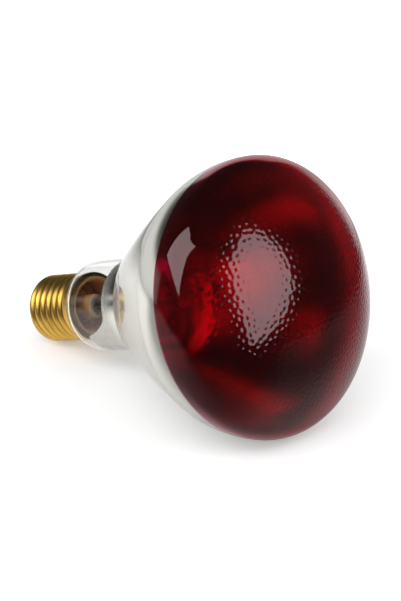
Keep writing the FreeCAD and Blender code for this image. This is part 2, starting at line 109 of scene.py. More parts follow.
# Mirror coat: roughness against the bowl's glass, on its inner side and in the neck, and how uneven it is
COAT_BRIGHT = 0.12
COAT_INNER = 0.22
COAT_SATIN = 0.27
COAT_UNEVEN = (0.85, 1.15)
COAT_NECK_METAL = 0.6

# Roughness of the other finishes, from the smooth to the dull places
BRASS_ROUGH = (0.27, 0.39)
SHEET_ROUGH = (0.22, 0.36)
SOLDER_ROUGH = (0.24, 0.42)
PRESSING_ROUGH = (0.06, 0.18)
WIRE_ROUGH = (0.3, 0.3)
CEMENT_ROUGH = (0.9, 0.9)
REFLECTION_ROUGH = 0.5

# Grain of the finishes: cells of noise a metre, detail and stretch
STAIN_GRAIN = (55.0, 2.0)
COAT_GRAIN = (80.0, 2.0)
TARNISH_GRAIN = (130.0, 4.0)
REFLECTION_GRAIN = (160.0, 2.0)
SHEET_GRAIN = (300.0, 3.0, (1.0, 0.1, 1.0))
WIRE_GRAIN = (600.0, 2.0)
SOLDER_GRAIN = (900.0, 3.0)
CEMENT_GRAIN = (2500.0, 4.0)
PRESSING_TINT = (300.0, 2.0)
PRESSING_SHEEN = (500.0, 2.0)
PRESSING_SKIN = (420.0, 2.0)
ROLLING_LINES = 5000.0

# Range of the noise that a finish uses
NOISE_SPAN = (0.3, 0.7)
STAIN_SPAN = (0.35, 0.65)
TARNISH_SPAN = (0.42, 0.72)
TARNISH_MOST = 0.55
# Painted shade in the thread's grooves, by their depth
GROOVE_SHADE_SPAN = (0.35, 0.95)
GROOVE_SHADE_MOST = 0.9

# Second tone of a finish, as a share of its colour
REFLECTION_SHADE = 0.4
SHEET_SHADE = 0.8
WIRE_SHADE = 0.7
SOLDER_SHADE = 0.72
CEMENT_SHADE = 0.6
PRESSING_SHADE = 2.2

# Relief in the finishes
RELIEF = 0.1 * MM
BRASS_RELIEF = 0.08
SOLDER_RELIEF = 0.25
PRESSING_RELIEF = 0.1
CEMENT_RELIEF = 0.5

# Materials of the bulb, by the finishes of its section
OUTSIDE = {"stained": 0, "silvered": 2, "clear": 2, "collar": 2}
# The collar's inside carries the painted reflection of the brass cap
INSIDE = {"stained": 1, "silvered": 3, "clear": 2, "collar": 4}

# White screen behind the lamp and the low white wall beside it, as metal and glass show them
SCREEN_SIDES = (math.radians(-168.0), math.radians(-116.0))
SCREEN_TOP = math.radians(34.0)
WALL_SIDES = (math.radians(-127.0), math.radians(-56.0))
WALL_TOP = math.radians(7.0)
BORDER_SOFT = math.radians(3.0)

# Number of turns below which a ray has gone straight on
STRAIGHT_ON = 0.5

# Nearest thing that the camera shows
CLIP_START = 10 * MM

# Ways in which the table darkens
DUSK_AZIMUTH = math.radians(101.0)
FRONT_AZIMUTH = math.radians(20.0)

# Corners of the soft panels, as azimuth and elevation in degrees seen from the lamp
SOFT_PANELS = {
    "panel_front": ((-47.5, 26.5), (29.0, 22.5), (60.0, 51.0), (15.0, 67.0)),
    "panel_right": ((79.5, 17.0), (86.0, -10.0), (107.0, 2.0), (119.0, 14.0), (123.0, 30.0), (118.0, 45.0),
                    (104.0, 50.0), (81.0, 38.0)),
}


def length(name, description, millimetres):
    """A length property, given in millimetres and kept in metres."""
    return FloatProperty(name=name, description=description, default=millimetres * MM, unit="LENGTH",
                         precision=5)


def angle(name, description, degrees):
    return FloatProperty(name=name, description=description, default=math.radians(degrees), unit="ROTATION")


def share(name, description, default):
    return FloatProperty(name=name, description=description, default=default, subtype="FACTOR",
                         min=0.0, max=1.0)


def colour(name, description, default):
    return FloatVectorProperty(name=name, description=description, default=default, size=3, subtype="COLOR",
                               min=0.0, max=1.0)


class LampBulbSizes(bpy.types.PropertyGroup):
    """Section of the blown bulb, the borders of its finishes and the stipple of its face."""
    bulb_diameter: length("Bulb diameter", "Widest diameter of the blown bulb", 95.0)
    dome_height: length("Dome height", "Apex of the face above the widest plane", 23.0)
    rim_radius: length("Rim radius", "Rounding between the face and the widest plane", 9.2)
    bowl_radius: length("Bowl radius", "Bowl section next to the widest plane", 38.0)
    bowl_turn: length("Bowl turn", "Depth where the bowl section flattens", 16.0)
    cone_radius: length("Cone radius", "Nearly straight section of the lower bowl", 400.0)
    shoulder_depth: length("Shoulder depth", "Depth where the bowl turns in to the neck", 49.0)
    shoulder_radius: length("Shoulder radius", "Rounding of that turn", 8.0)
    neck_fillet: length("Neck fillet", "Hollow rounding from the shoulder into the neck", 4.0)
    neck_diameter: length("Neck diameter", "Outside of the straight neck", 34.4)
    neck_end: length("Neck end", "Depth of the closed end of the neck", 92.0)
    heel_radius: length("Heel radius", "Rounding at the end of the neck", 4.5)
    collar_diameter: length("Collar diameter", "Narrow glass collar inside the cap", 22.0)
    collar_fillet: length("Collar fillet", "Hollow rounding between heel and collar", 0.5)
    collar_length: length("Collar length", "Length of the collar", 12.0)
    glass_wall: length("Glass wall", "Thickness of the blown wall", 1.0)
    stain_edge: length("Stain edge", "Depth where the ruby stain ends", 3.5)
    mirror_edge: length("Mirror edge", "Depth where the mirror coat ends on the neck", 68.7)
    tongue_reach: length("Tongue reach", "How much further the coat reaches on the underside", 14.0)
    tongue_rise: length("Tongue rise", "Length of coat that the tongue stretches", 6.0)
    stipple_radius: length("Stipple radius", "Radius of the stippled part of the face", 41.0)
    stipple_fade: length("Stipple fade", "Width over which the stipple dies out", 3.0)
    dimple_pitch: length("Dimple pitch", "Smallest distance of two dimples", 1.75)
    dimple_radius: length("Dimple radius", "Radius of one dimple", 0.95)
    dimple_depth: length("Dimple depth", "Depth of one dimple", 0.065)
    dimple_mesh: length("Dimple mesh", "Spacing of the points of the stippled face", 0.32)
    dimple_seed: IntProperty(name="Dimple seed", description="Seed of the stipple", default=7)


class LampCapSizes(bpy.types.PropertyGroup):
    """Rolled brass shell of the screw cap."""
    cap_gap: length("Cap gap", "Space between glass heel and cap rim", 1.0)
    thread_diameter: length("Thread diameter", "Crest of the rolled thread", 26.4)
    thread_height: length("Thread height", "Crest of the thread above its root", 1.07)
    thread_pitch: length("Thread pitch", "Distance of two crests", 3.629)
    thread_turns: IntProperty(name="Thread turns", description="Turns of the rolled thread", default=6)
    skirt_length: length("Skirt length", "Plain rim of the shell", 3.3)
    sheet_metal: length("Sheet metal", "Thickness of the shell", 0.35)
    curl_diameter: length("Curl diameter", "Inner edge of the rolled-in end", 20.4)
    curl_height: length("Curl height", "Axial height of the rolled-in end", 1.6)


class LampFilamentSizes(bpy.types.PropertyGroup):
    """Coiled tungsten horseshoe."""
    depth: length("Depth", "Plane of the filament", 34.0)
    ring_diameter: length("Ring diameter", "Horseshoe that the coil follows", 22.0)
    coil_diameter: length("Coil diameter", "Outside of the coil", 1.6)
    wire_diameter: length("Wire diameter", "Tungsten wire", 0.22)
    turns: IntProperty(name="Turns", description="Turns of the coil", default=72)


class LampFinishes(bpy.types.PropertyGroup):
    """Colours of the finishes."""
    ruby: colour("Ruby", "Light that passes the stained wall", (0.50, 0.003, 0.034))
    deep_ruby: colour("Deep ruby", "The same where the stain lies thicker", (0.41, 0.002, 0.026))
    silver: colour("Silver", "Mirror coat inside the bowl", (0.74, 0.72, 0.675))
    clear: colour("Clear glass", "Light that passes the neck", (0.96, 0.97, 0.955))
    brass: colour("Brass", "Bright rolled brass", (0.71, 0.45, 0.095))
    # Also the colour of the painted shade in the thread's grooves
    dark_brass: colour("Dark brass", "Tarnish in the thread", (0.27, 0.135, 0.02))
    black_glass: colour("Black glass", "Pressed insulator", (0.012, 0.012, 0.014))
    solder: colour("Solder", "Tin solder", (0.62, 0.61, 0.58))
    copper: colour("Copper", "Copper-clad lead wire", (0.72, 0.42, 0.26))
    tungsten: colour("Tungsten", "Drawn tungsten", (0.30, 0.29, 0.29))
    molybdenum: colour("Molybdenum", "Drawn support wire", (0.48, 0.48, 0.50))
    sheet: colour("Sheet", "Aluminium heat shield", (0.72, 0.72, 0.71))
    # Painted reflection: brown that stands in for the brass inside the cap, on the stem's foot and the
    # collar's inside
    brass_reflection: colour("Bronze", "Baked flux on the stem's foot and the collar", (0.95, 0.50, 0.15))
    cement: colour("Cement", "Baked basing cement", (0.66, 0.61, 0.54))


class LampStageSettings(bpy.types.PropertyGroup):
    """Camera, floor and soft light."""
    view_azimuth: angle("View azimuth", "Camera's turn about the vertical", 44.97)
    view_elevation: angle("View elevation", "Camera's height above the horizon", 20.73)
    view_distance: length("View distance", "Camera to the widest plane of the bulb", 432.855)
    view_right: length("View right", "Bulb's place right of the view's centre", 22.54)
    view_up: length("View up", "Bulb's place above the view's centre", 1.089)
    lens: FloatProperty(name="Lens", description="Focal length for a 36 mm frame", default=77.87,
                        subtype="DISTANCE_CAMERA")
    floor_radius: length("Floor radius", "White table top", 380.0)
    floor_white: share("Floor white", "Colour of the table top", 0.9)
    floor_glow: share("Floor glow", "White that the table shows besides its lit colour", 0.29)
    floor_dark: share("Floor dark", "Share of its white that the far table shows in reflections", 0.12)
    floor_dusk: length("Floor dusk", "Distance at which the table is at its darkest", 130.0)
    floor_front: share("Floor front", "Share of its white that the near table shows in reflections", 0.32)
    floor_near: length("Floor near", "Distance in front at which the table starts to look darker", 31.0)
    floor_edge: length("Floor edge", "Distance in front at which it looks darkest", 67.0)
    floor_calm: length("Floor calm", "Reach of the table's lit colour around the lamp", 140.0)
    fill: share("Fill", "Even light from all round", 0.6)
    room: share("Room", "Dark room in the reflections", 0.05)
    sweep: share("Sweep", "White screen in the reflections", 0.88)
    panel_light: FloatProperty(name="Panel light", description="Brightness of the soft panels", default=3.2)
    panel_distance: length("Panel distance", "Soft panels to the bulb", 900.0)


def sizes(group):
    """One of the property groups of the scene, by its short name."""
    return getattr(bpy.context.scene, f"lamp_{group}")


def lamp_place():
    """Matrix from the lamp's own axes (across, upright, depth towards the cap) to the frame."""
    cap = next(mount for mount in frame["record"]["mounts"] if mount["name"] == "screw_cap")
    bulb, shell = sizes("bulb"), sizes("cap")
    skirt_depth = bulb.neck_end + shell.cap_gap + shell.skirt_length / 2
    towards_cap = Vector(cap["axis"]).normalized()
    across = Vector((0.0, -1.0, 0.0))
    upright = towards_cap.cross(across)
    middle = Vector(cap["pos_m"]) - towards_cap * skirt_depth
    place = Matrix((across, upright, towards_cap)).transposed().to_4x4()
    place.translation = middle
    return place


# Node trees

def feed(tree, target, links):
    """Links or sets inputs of a node."""
    for socket, source in links.items():
        if isinstance(source, bpy.types.NodeSocket):
            tree.links.new(source, target.inputs[socket])
        else:
            target.inputs[socket].default_value = source


def node(tree, kind, links=None, **settings):
    """Adds a node, sets its options and links or sets its inputs."""
    made = tree.nodes.new(kind)
    for option, setting in settings.items():
        setattr(made, option, setting)
    feed(tree, made, links or {})
    return made


def maths(tree, operation, *values):
    made = node(tree, "ShaderNodeMath", dict(enumerate(values)), operation=operation)
    return made.outputs[0]


def times(tree, first, *others):
    for other in others:
        first = maths(tree, "MULTIPLY", first, other)
    return first


def vector_maths(tree, operation, *values):
    """Result of vector maths, a number where the operation gives one."""
    made = node(tree, "ShaderNodeVectorMath", dict(enumerate(values)), operation=operation)
    return made.outputs["Value" if operation in ("DOT_PRODUCT", "LENGTH") else "Vector"]


def remap(tree, source, low, high, to_low=0.0, to_high=1.0, smooth=False):
    kind = "SMOOTHSTEP" if smooth else "LINEAR"
    links = {"Value": source, "From Min": low, "From Max": high, "To Min": to_low, "To Max": to_high}
    return node(tree, "ShaderNodeMapRange", links, interpolation_type=kind).outputs["Result"]


def blend(tree, factor, first, second):
    return node(tree, "ShaderNodeMix", {"Factor": factor, "A": first, "B": second}).outputs[0]


def blend_colours(tree, factor, first, second):
    mix = node(tree, "ShaderNodeMix", {"Factor": factor}, data_type="RGBA")
    ends = [index for index, socket in enumerate(mix.inputs) if socket.type == "RGBA"]
    feed(tree, mix, dict(zip(ends, (first, second))))
    return next(socket for socket in mix.outputs if socket.type == "RGBA")


def new_material(name):
    """A material with one Principled shader; returns it with its tree and shader."""
    material = bpy.data.materials.new(name)
    material.use_nodes = True
    tree = material.node_tree
    shader = next(item for item in tree.nodes if item.type == "BSDF_PRINCIPLED")
    return material, tree, shader


def empty_tree(owner):
    """Node tree of a material or world, with nothing in it yet."""
    owner.use_nodes = True
    owner.node_tree.nodes.clear()
    return owner.node_tree


def opaque(rgb):
    return (*rgb, 1.0)


def shaded(rgb, share_of_it):
    return opaque(share_of_it * part for part in rgb)


def own_place(tree):
    """Coordinates of the piece itself, in metres."""
    return node(tree, "ShaderNodeTexCoord").outputs["Object"]


def attribute(tree, name):
    return node(tree, "ShaderNodeAttribute", attribute_name=name).outputs["Fac"]


def noise(tree, scale, detail, stretch=None):
    """Noise on the piece's own coordinates."""
    place = own_place(tree)
    if stretch:
        place = node(tree, "ShaderNodeMapping", {"Vector": place, "Scale": stretch}).outputs["Vector"]
    links = {"Vector": place, "Scale": scale, "Detail": detail}
    return node(tree, "ShaderNodeTexNoise", links).outputs["Fac"]


def depth_noise(tree, scale):
    """Noise that changes along the lamp's axis only, as turning and rolling leave it."""
    links = {"W": attribute(tree, "depth"), "Scale": scale}
    return node(tree, "ShaderNodeTexNoise", links, noise_dimensions="1D").outputs["Fac"]


def relief(tree, height, strength):
    links = {"Height": height, "Strength": strength, "Distance": RELIEF}
    return node(tree, "ShaderNodeBump", links).outputs["Normal"]


def ruby_glass(name, roughness):
    """Stained glass of the face, a little uneven."""
    finish = sizes("finish")
    material, tree, shader = new_material(name)
    stain = remap(tree, noise(tree, *STAIN_GRAIN), *STAIN_SPAN)
    feed(tree, shader, {
        "Base Color": blend_colours(tree, stain, opaque(finish.deep_ruby), opaque(finish.ruby)),
        "Transmission Weight": 1.0,
        "IOR": RUBY_IOR,
        "Roughness": roughness,
    })
    return material


def clear_glass():
    """Clear soft glass of the neck, which shows only weak reflections."""
    material, tree, shader = new_material("blown_glass")
    clear = opaque(sizes("finish").clear)
    feed(tree, shader, {"Base Color": clear, "Transmission Weight": 1.0, "IOR": CLEAR_IOR, "Roughness": 0.0})
    return material


def stem_glass():
    """Clear stem whose foot is painted brown, a painted reflection of the brass inside the cap with a random
    tone.
    """
    finish, bulb = sizes("finish"), sizes("bulb")
    material, tree, shader = new_material("stem_glass")
    middle, axis = lamp_place().translation, lamp_place().col[2].to_3d()
    offset = vector_maths(tree, "SUBTRACT", own_place(tree), middle)
    depth = vector_maths(tree, "DOT_PRODUCT", offset, axis)
    foot = remap(tree, depth, bulb.neck_end - bulb.heel_radius, bulb.neck_end, smooth=True)
    stain = remap(tree, noise(tree, *REFLECTION_GRAIN), *STAIN_SPAN)
    # Painted reflection of the brass cap, brown with a random tone
    painted_reflection = blend_colours(tree, stain, shaded(finish.brass_reflection, REFLECTION_SHADE), opaque(finish.brass_reflection))
    feed(tree, shader, {
        "Base Color": blend_colours(tree, foot, opaque(finish.clear), painted_reflection),
        "Transmission Weight": remap(tree, foot, 0.0, 1.0, 1.0, 0.0),
        "Roughness": remap(tree, foot, 0.0, 1.0, 0.0, REFLECTION_ROUGH),
    })
    return material


def mirror_coat():
    """Aluminium film inside the wall: bright against the bowl's glass, whitish and satin in the neck."""
    material, tree, shader = new_material("mirror_coat")
    bulb = sizes("bulb")
    depth = attribute(tree, "depth")
    neck = remap(tree, depth, bulb.mirror_edge - bulb.tongue_rise, bulb.mirror_edge, smooth=True)
    against_glass = node(tree, "ShaderNodeNewGeometry").outputs["Backfacing"]
    in_bowl = remap(tree, against_glass, 0.0, 1.0, COAT_INNER, COAT_BRIGHT)
    uneven = remap(tree, noise(tree, *COAT_GRAIN), *NOISE_SPAN, *COAT_UNEVEN)
    feed(tree, shader, {
        "Base Color": opaque(sizes("finish").silver),
        "Metallic": remap(tree, neck, 0.0, 1.0, 1.0, COAT_NECK_METAL),
        "Roughness": times(tree, blend(tree, neck, in_bowl, COAT_SATIN), uneven),
    })
    return material


def rolled_brass():
    """Bright brass with rolling lines, with painted shade in the thread's grooves, and darker where it has
    tarnished.
    """
    finish = sizes("finish")
    material, tree, shader = new_material("rolled_brass")
    tarnish = remap(tree, noise(tree, *TARNISH_GRAIN), *TARNISH_SPAN, 0.0, TARNISH_MOST)
    # Painted shade: the deeper the thread's groove, the darker the brass
    groove = remap(tree, attribute(tree, "groove"), *GROOVE_SHADE_SPAN, 0.0, GROOVE_SHADE_MOST, smooth=True)
    tarnish_and_groove_shade = maths(tree, "MAXIMUM", tarnish, groove)
    lines = depth_noise(tree, ROLLING_LINES)
    feed(tree, shader, {
        "Base Color": blend_colours(tree, tarnish_and_groove_shade, opaque(finish.brass), opaque(finish.dark_brass)),
        "Metallic": 1.0,
        "Roughness": remap(tree, lines, *NOISE_SPAN, *BRASS_ROUGH),
        "Normal": relief(tree, lines, BRASS_RELIEF),
    })
    return material


def grained_finish(name, rgb, shade, grain, rough, metallic=1.0, bump=0.0):
    """A finish whose grain, a noise of the given scale, detail and stretch, runs between two tones."""
    material, tree, shader = new_material(name)
    marks = noise(tree, *grain)
    feed(tree, shader, {
        "Base Color": blend_colours(tree, marks, shaded(rgb, shade), opaque(rgb)),
        "Metallic": metallic,
        "Roughness": remap(tree, marks, *NOISE_SPAN, *rough),
    })
    if bump:
        feed(tree, shader, {"Normal": relief(tree, marks, bump)})
    return material


def rolled_sheet():
    """Satin aluminium sheet with rolling marks across one way."""
    return grained_finish("rolled_sheet", sizes("finish").sheet, SHEET_SHADE, SHEET_GRAIN, SHEET_ROUGH)


def drawn_wire(name, rgb):
    """Bright drawn wire with a faint die mark."""
    return grained_finish(name, rgb, WIRE_SHADE, WIRE_GRAIN, WIRE_ROUGH)


def solder_metal():
    """Soft solder that froze with a slightly rippled skin."""
    return grained_finish("tin_solder", sizes("finish").solder, SOLDER_SHADE, SOLDER_GRAIN, SOLDER_ROUGH,
                          bump=SOLDER_RELIEF)


def baked_cement(name, rgb):
    """Sandy basing cement, and the painted reflection of brass on the collar's inside."""
    return grained_finish(name, rgb, CEMENT_SHADE, CEMENT_GRAIN, CEMENT_ROUGH, metallic=0.0,
                          bump=CEMENT_RELIEF)


def pressed_black_glass():
    """Opaque black glass with the soft skin of a pressing."""
    material, tree, shader = new_material("pressed_black_glass")
    black = sizes("finish").black_glass
    tint = noise(tree, *PRESSING_TINT)
    feed(tree, shader, {
        "Base Color": blend_colours(tree, tint, opaque(black), shaded(black, PRESSING_SHADE)),
        "Roughness": remap(tree, noise(tree, *PRESSING_SHEEN), *NOISE_SPAN, *PRESSING_ROUGH),
        "Normal": relief(tree, noise(tree, *PRESSING_SKIN), PRESSING_RELIEF),
    })
    return material


# Meshes turned about the lamp's axis

def arc_points(centre, radius, first, last, count):
    """Points of an arc in the section, both ends included."""
    step = (last - first) / count
    turns = [first + step * index for index in range(count + 1)]
    return [(centre[0] + radius * math.cos(turn), centre[1] + radius * math.sin(turn)) for turn in turns]


def line_points(first, last, count):
    """Points of a straight run in the section, both ends included."""
    return [tuple(a + (b - a) * index / count for a, b in zip(first, last)) for index in range(count + 1)]


def face_radius(bulb):
    """Radius of the face's sphere, which meets the rim's rounding without a corner."""
    dome, rim = bulb.dome_height, bulb.rim_radius
    reach = bulb.bulb_diameter / 2 - rim
    return (dome ** 2 + reach ** 2 - rim ** 2) / (2 * (dome - rim))


def face_point(bulb, turn):
    """Point of the face's section at a turn from the apex, as (radius, depth)."""
    sphere = face_radius(bulb)
    return sphere * math.sin(turn), sphere - bulb.dome_height - sphere * math.cos(turn)


def eased(value):
    """Smooth rise from 0 to 1, flat beyond both."""
    ease = min(max(value, 0.0), 1.0)
    return ease * ease * (3 - 2 * ease)


def bulb_section(bulb, inset):
    """Section of the blown wall beyond the face, from rim to collar, as (radius, depth) points.

    The inset side shares the centres of the outside."""
    rim, bowl, cone = bulb.rim_radius, bulb.bowl_radius, bulb.cone_radius
    wide, neck, collar = bulb.bulb_diameter / 2, bulb.neck_diameter / 2, bulb.collar_diameter / 2
    heel, hollow, foot = bulb.heel_radius, bulb.collar_fillet, bulb.neck_end
    reach = wide - rim
    rim_turn = math.atan2(bulb.dome_height - face_radius(bulb), reach)
    bowl_turn = math.asin(bulb.bowl_turn / bowl)
    cone_centre = (wide - bowl + (bowl - cone) * math.cos(bowl_turn), (bowl - cone) * math.sin(bowl_turn))
    fall = math.asin((bulb.shoulder_depth - cone_centre[1]) / cone)
    shoulder = tuple(part + (cone - bulb.shoulder_radius) * turn
                     for part, turn in zip(cone_centre, (math.cos(fall), math.sin(fall))))
    roundings = bulb.shoulder_radius + bulb.neck_fillet
    meet = math.acos((neck + bulb.neck_fillet - shoulder[0]) / roundings)
    fillet = (neck + bulb.neck_fillet, shoulder[1] + roundings * math.sin(meet))
    quarter = math.pi / 2
    stain_turn = math.asin(bulb.stain_edge / bowl)
    wall, sleeve = neck - inset, collar - inset
    runs = (
        ("stained", arc_points((reach, 0), rim - inset, rim_turn, 0, RIM_STEPS)),
        ("stained", arc_points((wide - bowl, 0), bowl - inset, 0, stain_turn, STAIN_STEPS)),
        ("silvered", arc_points((wide - bowl, 0), bowl - inset, stain_turn, bowl_turn, BOWL_STEPS)),
        ("silvered", arc_points(cone_centre, cone - inset, bowl_turn, fall, CONE_STEPS)),
        ("silvered", arc_points(shoulder, bulb.shoulder_radius - inset, fall, meet, SHOULDER_STEPS)),
        ("silvered", arc_points(fillet, bulb.neck_fillet + inset, math.pi + meet, math.pi, FILLET_STEPS)),
        ("silvered", line_points((wall, fillet[1]), (wall, bulb.mirror_edge), NECK_STEPS)),
        ("clear", line_points((wall, bulb.mirror_edge), (wall, foot - heel), NECK_STEPS)),
        ("clear", arc_points((neck - heel, foot - heel), heel - inset, 0, quarter, HEEL_STEPS)),
        ("clear", line_points((neck - heel, foot - inset), (collar + hollow, foot - inset), BASE_STEPS)),
        ("collar", arc_points((collar + hollow, foot + hollow), hollow + inset, math.pi + quarter, math.pi,
                              HOLLOW_STEPS)),
        ("collar", line_points((sleeve, foot + hollow), (sleeve, foot + bulb.collar_length), COLLAR_STEPS)),
    )
    return runs


def coat_tongue(bulb, place):
    """How far a place inside the neck moves down so that the mirror coat reaches further on the underside."""
    edge, heel = bulb.mirror_edge, bulb.neck_end - bulb.heel_radius
    start = edge - bulb.tongue_rise
    if not start < place.z < heel:
        return 0.0
    lean = math.atan2(-place.y, place.x)
    under = min(max(min(lean, math.pi - lean) / TONGUE_TURN, 0.0), 1.0)
    near = (place.z - start) / (edge - start) if place.z < edge else (heel - place.z) / (heel - edge)
    return bulb.tongue_reach * under * under * near


def add_ring(mesh, radius, depth, count):
    """One ring of points about the axis; a ring of no radius is a single point."""
    if count == 1:
        return [mesh.verts.new((0.0, 0.0, depth))]
    turns = [FULL_TURN * index / count for index in range(count)]
    return [mesh.verts.new((radius * math.cos(turn), radius * math.sin(turn), depth)) for turn in turns]


def join_rings(mesh, first, second, material):
    """Faces between two rings, also where their counts differ."""
    if len(first) == len(second):
        count = len(first)
        for index in range(count):
            follower = (index + 1) % count
            face = mesh.faces.new((first[index], second[index], second[follower], first[follower]))
            face.material_index = material
        return
    here = there = 0
    while here < len(first) or there < len(second):
        step_here = (here + 1) / len(first) if len(first) > 1 else math.inf
        step_there = (there + 1) / len(second) if len(second) > 1 else math.inf
        a, b = first[here % len(first)], second[there % len(second)]
        if step_here < step_there:
            here += 1
            corners = (a, b, first[here % len(first)])
        elif there < len(second):
            there += 1
            corners = (a, b, second[there % len(second)])
        else:
            break
        mesh.faces.new(corners).material_index = material


def link_object(name, data):
    made = bpy.data.objects.new(name, data)
    bpy.context.scene.collection.objects.link(made)
    return made


def mesh_object(mesh, name):
    """An object of the drawn mesh, which ends there."""
    data = bpy.data.meshes.new(name)
    mesh.to_mesh(data)
    mesh.free()
    return link_object(name, data)


def set_weight(piece, name, weights):
    weight = piece.data.attributes.new(name, "FLOAT", "POINT")
    weight.data.foreach_set("value", weights)


def finish_object(mesh, name, materials):
    """Turns the drawn mesh into a smooth object in the lamp's own axes."""
    bmesh.ops.recalc_face_normals(mesh, faces=mesh.faces)
    piece = mesh_object(mesh, name)
    data = piece.data
    data.polygons.foreach_set("use_smooth", [True] * len(data.polygons))
    for material in materials:
        data.materials.append(material)
    set_weight(piece, "depth", [vertex.co.z for vertex in data.vertices])
    return piece


# Geometry Nodes

def new_tree(name, inputs):
    """A tree with a mesh in, a mesh out and the named inputs; returns it with its first node."""
    tree = bpy.data.node_groups.new(name, "GeometryNodeTree")
    tree.interface.new_socket("Mesh", in_out="OUTPUT", socket_type="NodeSocketGeometry")
    tree.interface.new_socket("Mesh", in_out="INPUT", socket_type="NodeSocketGeometry")
    for label, kind in inputs.items():
        tree.interface.new_socket(label, in_out="INPUT", socket_type=f"NodeSocket{kind}")
    return tree, tree.nodes.new("NodeGroupInput")


def end_tree(tree, geometry, material, selection=None):
    """Closes the tree with plain geometry and its material."""
    plain = node(tree, "GeometryNodeRealizeInstances", {"Geometry": geometry}).outputs["Geometry"]
    links = {"Geometry": plain, "Material": material}
    if selection:
        links["Selection"] = selection
    painted = node(tree, "GeometryNodeSetMaterial", links).outputs["Geometry"]
    node(tree, "NodeGroupOutput", {"Mesh": painted})


def run_tree(piece, tree, values):
    """Runs the tree on the piece and keeps the result as a plain mesh."""
    modifier = piece.modifiers.new(tree.name, "NODES")
    modifier.node_group = tree
    for item in tree.interface.items_tree:
        if item.in_out == "INPUT" and item.name in values:
            modifier[item.identifier] = values[item.name]
    depsgraph = bpy.context.evaluated_depsgraph_get()
    data = bpy.data.meshes.new_from_object(piece.evaluated_get(depsgraph), preserve_all_data_layers=True,
                                           depsgraph=depsgraph)
    piece.modifiers.remove(modifier)
    piece.data = data


def named_value(tree, name):
    made = node(tree, "GeometryNodeInputNamedAttribute", {"Name": name}, data_type="FLOAT")
    return made.outputs["Attribute"]


def along_vector(tree, vector, distance):
    """The vector times a distance."""
    links = {0: vector, "Scale": distance}
    return node(tree, "ShaderNodeVectorMath", links, operation="SCALE").outputs[0]


def shift(tree, geometry, offset):
    links = {"Geometry": geometry, "Offset": offset}
    return node(tree, "GeometryNodeSetPosition", links).outputs["Geometry"]


def stipple_tree():
    """Presses round dimples into the weighted part of a surface, spread evenly at random."""
    inputs = {"Pitch": "Float", "Radius": "Float", "Depth": "Float", "Seed": "Int", "Material": "Material"}
    tree, given = new_tree("Stippled face", inputs)
    size, surface = given.outputs, given.outputs["Mesh"]
    weight = named_value(tree, "stipple")
    stippled = node(tree, "FunctionNodeCompare", {0: weight, 1: 0.0}, operation="GREATER_THAN").outputs[0]
    crowd = maths(tree, "DIVIDE", DIMPLE_CROWD, times(tree, size["Pitch"], size["Pitch"]))
    links = {"Mesh": surface, "Selection": stippled, "Distance Min": size["Pitch"], "Density Max": crowd,
             "Seed": size["Seed"]}
    spread = node(tree, "GeometryNodeDistributePointsOnFaces", links, distribute_method="POISSON")
    near = node(tree, "GeometryNodeProximity", {0: spread.outputs["Points"]}, target_element="POINTS")
    reach = maths(tree, "DIVIDE", near.outputs["Distance"], size["Radius"])
    bowl = maths(tree, "MAXIMUM", maths(tree, "SUBTRACT", 1.0, times(tree, reach, reach)), 0.0)
    press = times(tree, times(tree, bowl, bowl), times(tree, weight, size["Depth"]))
    outward = node(tree, "GeometryNodeInputNormal").outputs["Normal"]
    pressed = shift(tree, surface, along_vector(tree, outward, times(tree, press, -1.0)))
    end_tree(tree, pressed, size["Material"], stippled)
    return tree


def thread_tree():
    """Rolls a right-hand thread into a plain shell, as deep as the shell's own weight says."""
    inputs = {"Start": "Float", "Pitch": "Float", "Height": "Float", "Material": "Material"}
    tree, given = new_tree("Rolled thread", inputs)
    size = given.outputs
    place = node(tree, "GeometryNodeInputPosition").outputs["Position"]
    axes = node(tree, "ShaderNodeSeparateXYZ", {"Vector": place}).outputs
    turn = maths(tree, "ARCTAN2", axes["Y"], axes["X"])
    turns = maths(tree, "DIVIDE", maths(tree, "SUBTRACT", axes["Z"], size["Start"]), size["Pitch"])
    phase = maths(tree, "SUBTRACT", times(tree, turns, FULL_TURN), turn)
    hollow = maths(tree, "SUBTRACT", 0.5, times(tree, maths(tree, "COSINE", phase), 0.5))
    groove = times(tree, hollow, named_value(tree, "rolled"))
    depth = times(tree, groove, size["Height"])
    flat = node(tree, "ShaderNodeCombineXYZ", {"X": axes["X"], "Y": axes["Y"]}).outputs["Vector"]
    outward = vector_maths(tree, "NORMALIZE", flat)
    # The groove's depth is kept for the painted shade in the brass
    links = {"Geometry": size["Mesh"], "Name": "groove", "Value": groove}
    marked = node(tree, "GeometryNodeStoreNamedAttribute", links, data_type="FLOAT", domain="POINT")
    inward = along_vector(tree, outward, times(tree, depth, -1.0))
    rolled = shift(tree, marked.outputs["Geometry"], inward)
    end_tree(tree, rolled, size["Material"])
    return tree


